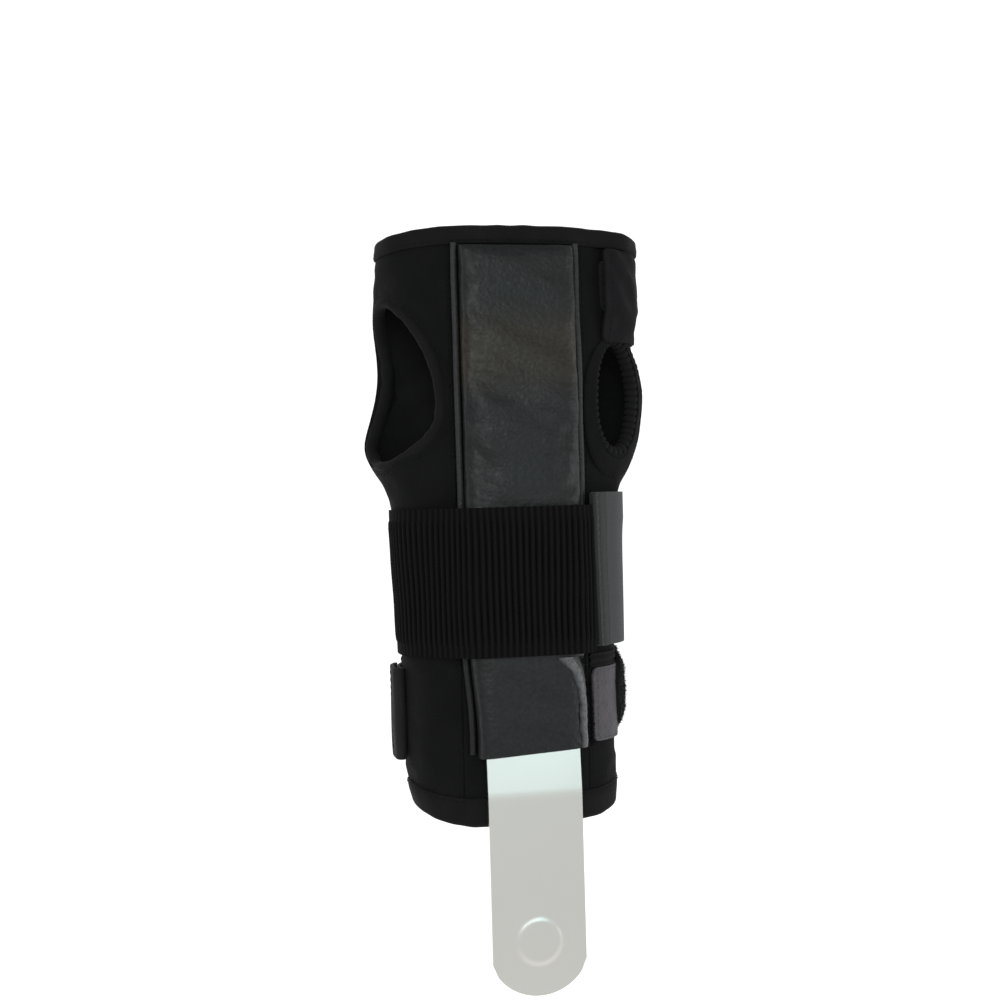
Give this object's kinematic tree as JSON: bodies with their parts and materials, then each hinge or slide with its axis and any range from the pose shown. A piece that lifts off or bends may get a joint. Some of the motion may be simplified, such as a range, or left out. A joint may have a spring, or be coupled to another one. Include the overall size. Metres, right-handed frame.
{
  "type": "wrist splint",
  "caption": "Padded sleeve for the palm, wrist and forearm with thumb holes, a metal stay that slides in a leather pocket, and straps closed by hook and loop.",
  "frame": {"origin": "in the sleeve's hollow at the wrist, level with the middle of the wide strap", "axes": "+Z towards the fingers, -Y the palm side, +X the little-finger side as worn on a left hand"},
  "size_m": [0.0975, 0.0614, 0.2574],
  "materials": {
    "neoprene": "black knit-faced foam sheet, matt, soft sheen at grazing angles",
    "binding": "black folded edge tape with overlock stitching",
    "pocket_leather": "dark grey synthetic leather, fine pebbled grain, half gloss, softly wrinkled",
    "piping_leather": "grey synthetic leather over a cord, half gloss",
    "stay_aluminium": "satin rolled aluminium with bright edges",
    "elastic": "black ribbed woven elastic, matt",
    "tab_webbing": "dark grey brushed fabric with stitched hems",
    "loop_tape": "dark grey brushed loop pile",
    "hook_tape": "black nylon hook tape"
  },
  "bodies": {
    "sleeve": {"palm_panel": "neoprene", "back_panel": "neoprene", "hand_tape": "binding", "cuff_tape": "binding", "thumb_hole_rim": "binding", "spare_hole_rim": "binding", "stay_pocket": "pocket_leather", "piping_thumb_side": "piping_leather", "piping_ulnar_side": "piping_leather", "wrist_strap_root": "elastic", "wrist_loop_patch": "loop_tape", "forearm_strap_root": "tab_webbing", "forearm_loop_patch": "loop_tape", "hand_loop_patch": "loop_tape", "hand_flap_root": "neoprene"},
    "stay": {"palm_stay": "stay_aluminium"},
    "wrist_strap": {"wrist_strap": "elastic"},
    "wrist_tab": {"wrist_tab": "tab_webbing", "wrist_hook": "hook_tape"},
    "forearm_strap": {"forearm_strap": "elastic"},
    "forearm_tab": {"forearm_tab": "tab_webbing", "forearm_hook": "hook_tape"},
    "hand_flap": {"hand_flap": "neoprene", "hand_hook": "hook_tape"}
  },
  "joints": [
    {"name": "stay_slide", "type": "slide", "parent": "sleeve", "child": "stay", "axis": [0, 0, -1], "range_m": [-0.08, 0.08]},
    {"name": "wrist_strap_swing", "type": "hinge", "parent": "sleeve", "child": "wrist_strap", "pos_m": [-0.03435, -0.01675, 0.00025], "axis": [0, 0, -1], "range_deg": [0, 100]},
    {"name": "wrist_tab_peel", "type": "hinge", "parent": "wrist_strap", "child": "wrist_tab", "pos_m": [0.02491, -0.02535, 0.00025], "axis": [0, 0, -1], "range_deg": [0, 110]},
    {"name": "forearm_strap_swing", "type": "hinge", "parent": "sleeve", "child": "forearm_strap", "pos_m": [-0.0372, 0.01579, -0.04275], "axis": [0, 0, 1], "range_deg": [0, 90]},
    {"name": "forearm_tab_peel", "type": "hinge", "parent": "forearm_strap", "child": "forearm_tab", "pos_m": [0.03385, 0.02115, -0.04275], "axis": [0, 0, 1], "range_deg": [0, 110]},
    {"name": "hand_flap_peel", "type": "hinge", "parent": "sleeve", "child": "hand_flap", "pos_m": [0.0477, 0, 0.09605], "axis": [0, 0, 1], "range_deg": [0, 120]}
  ]
}
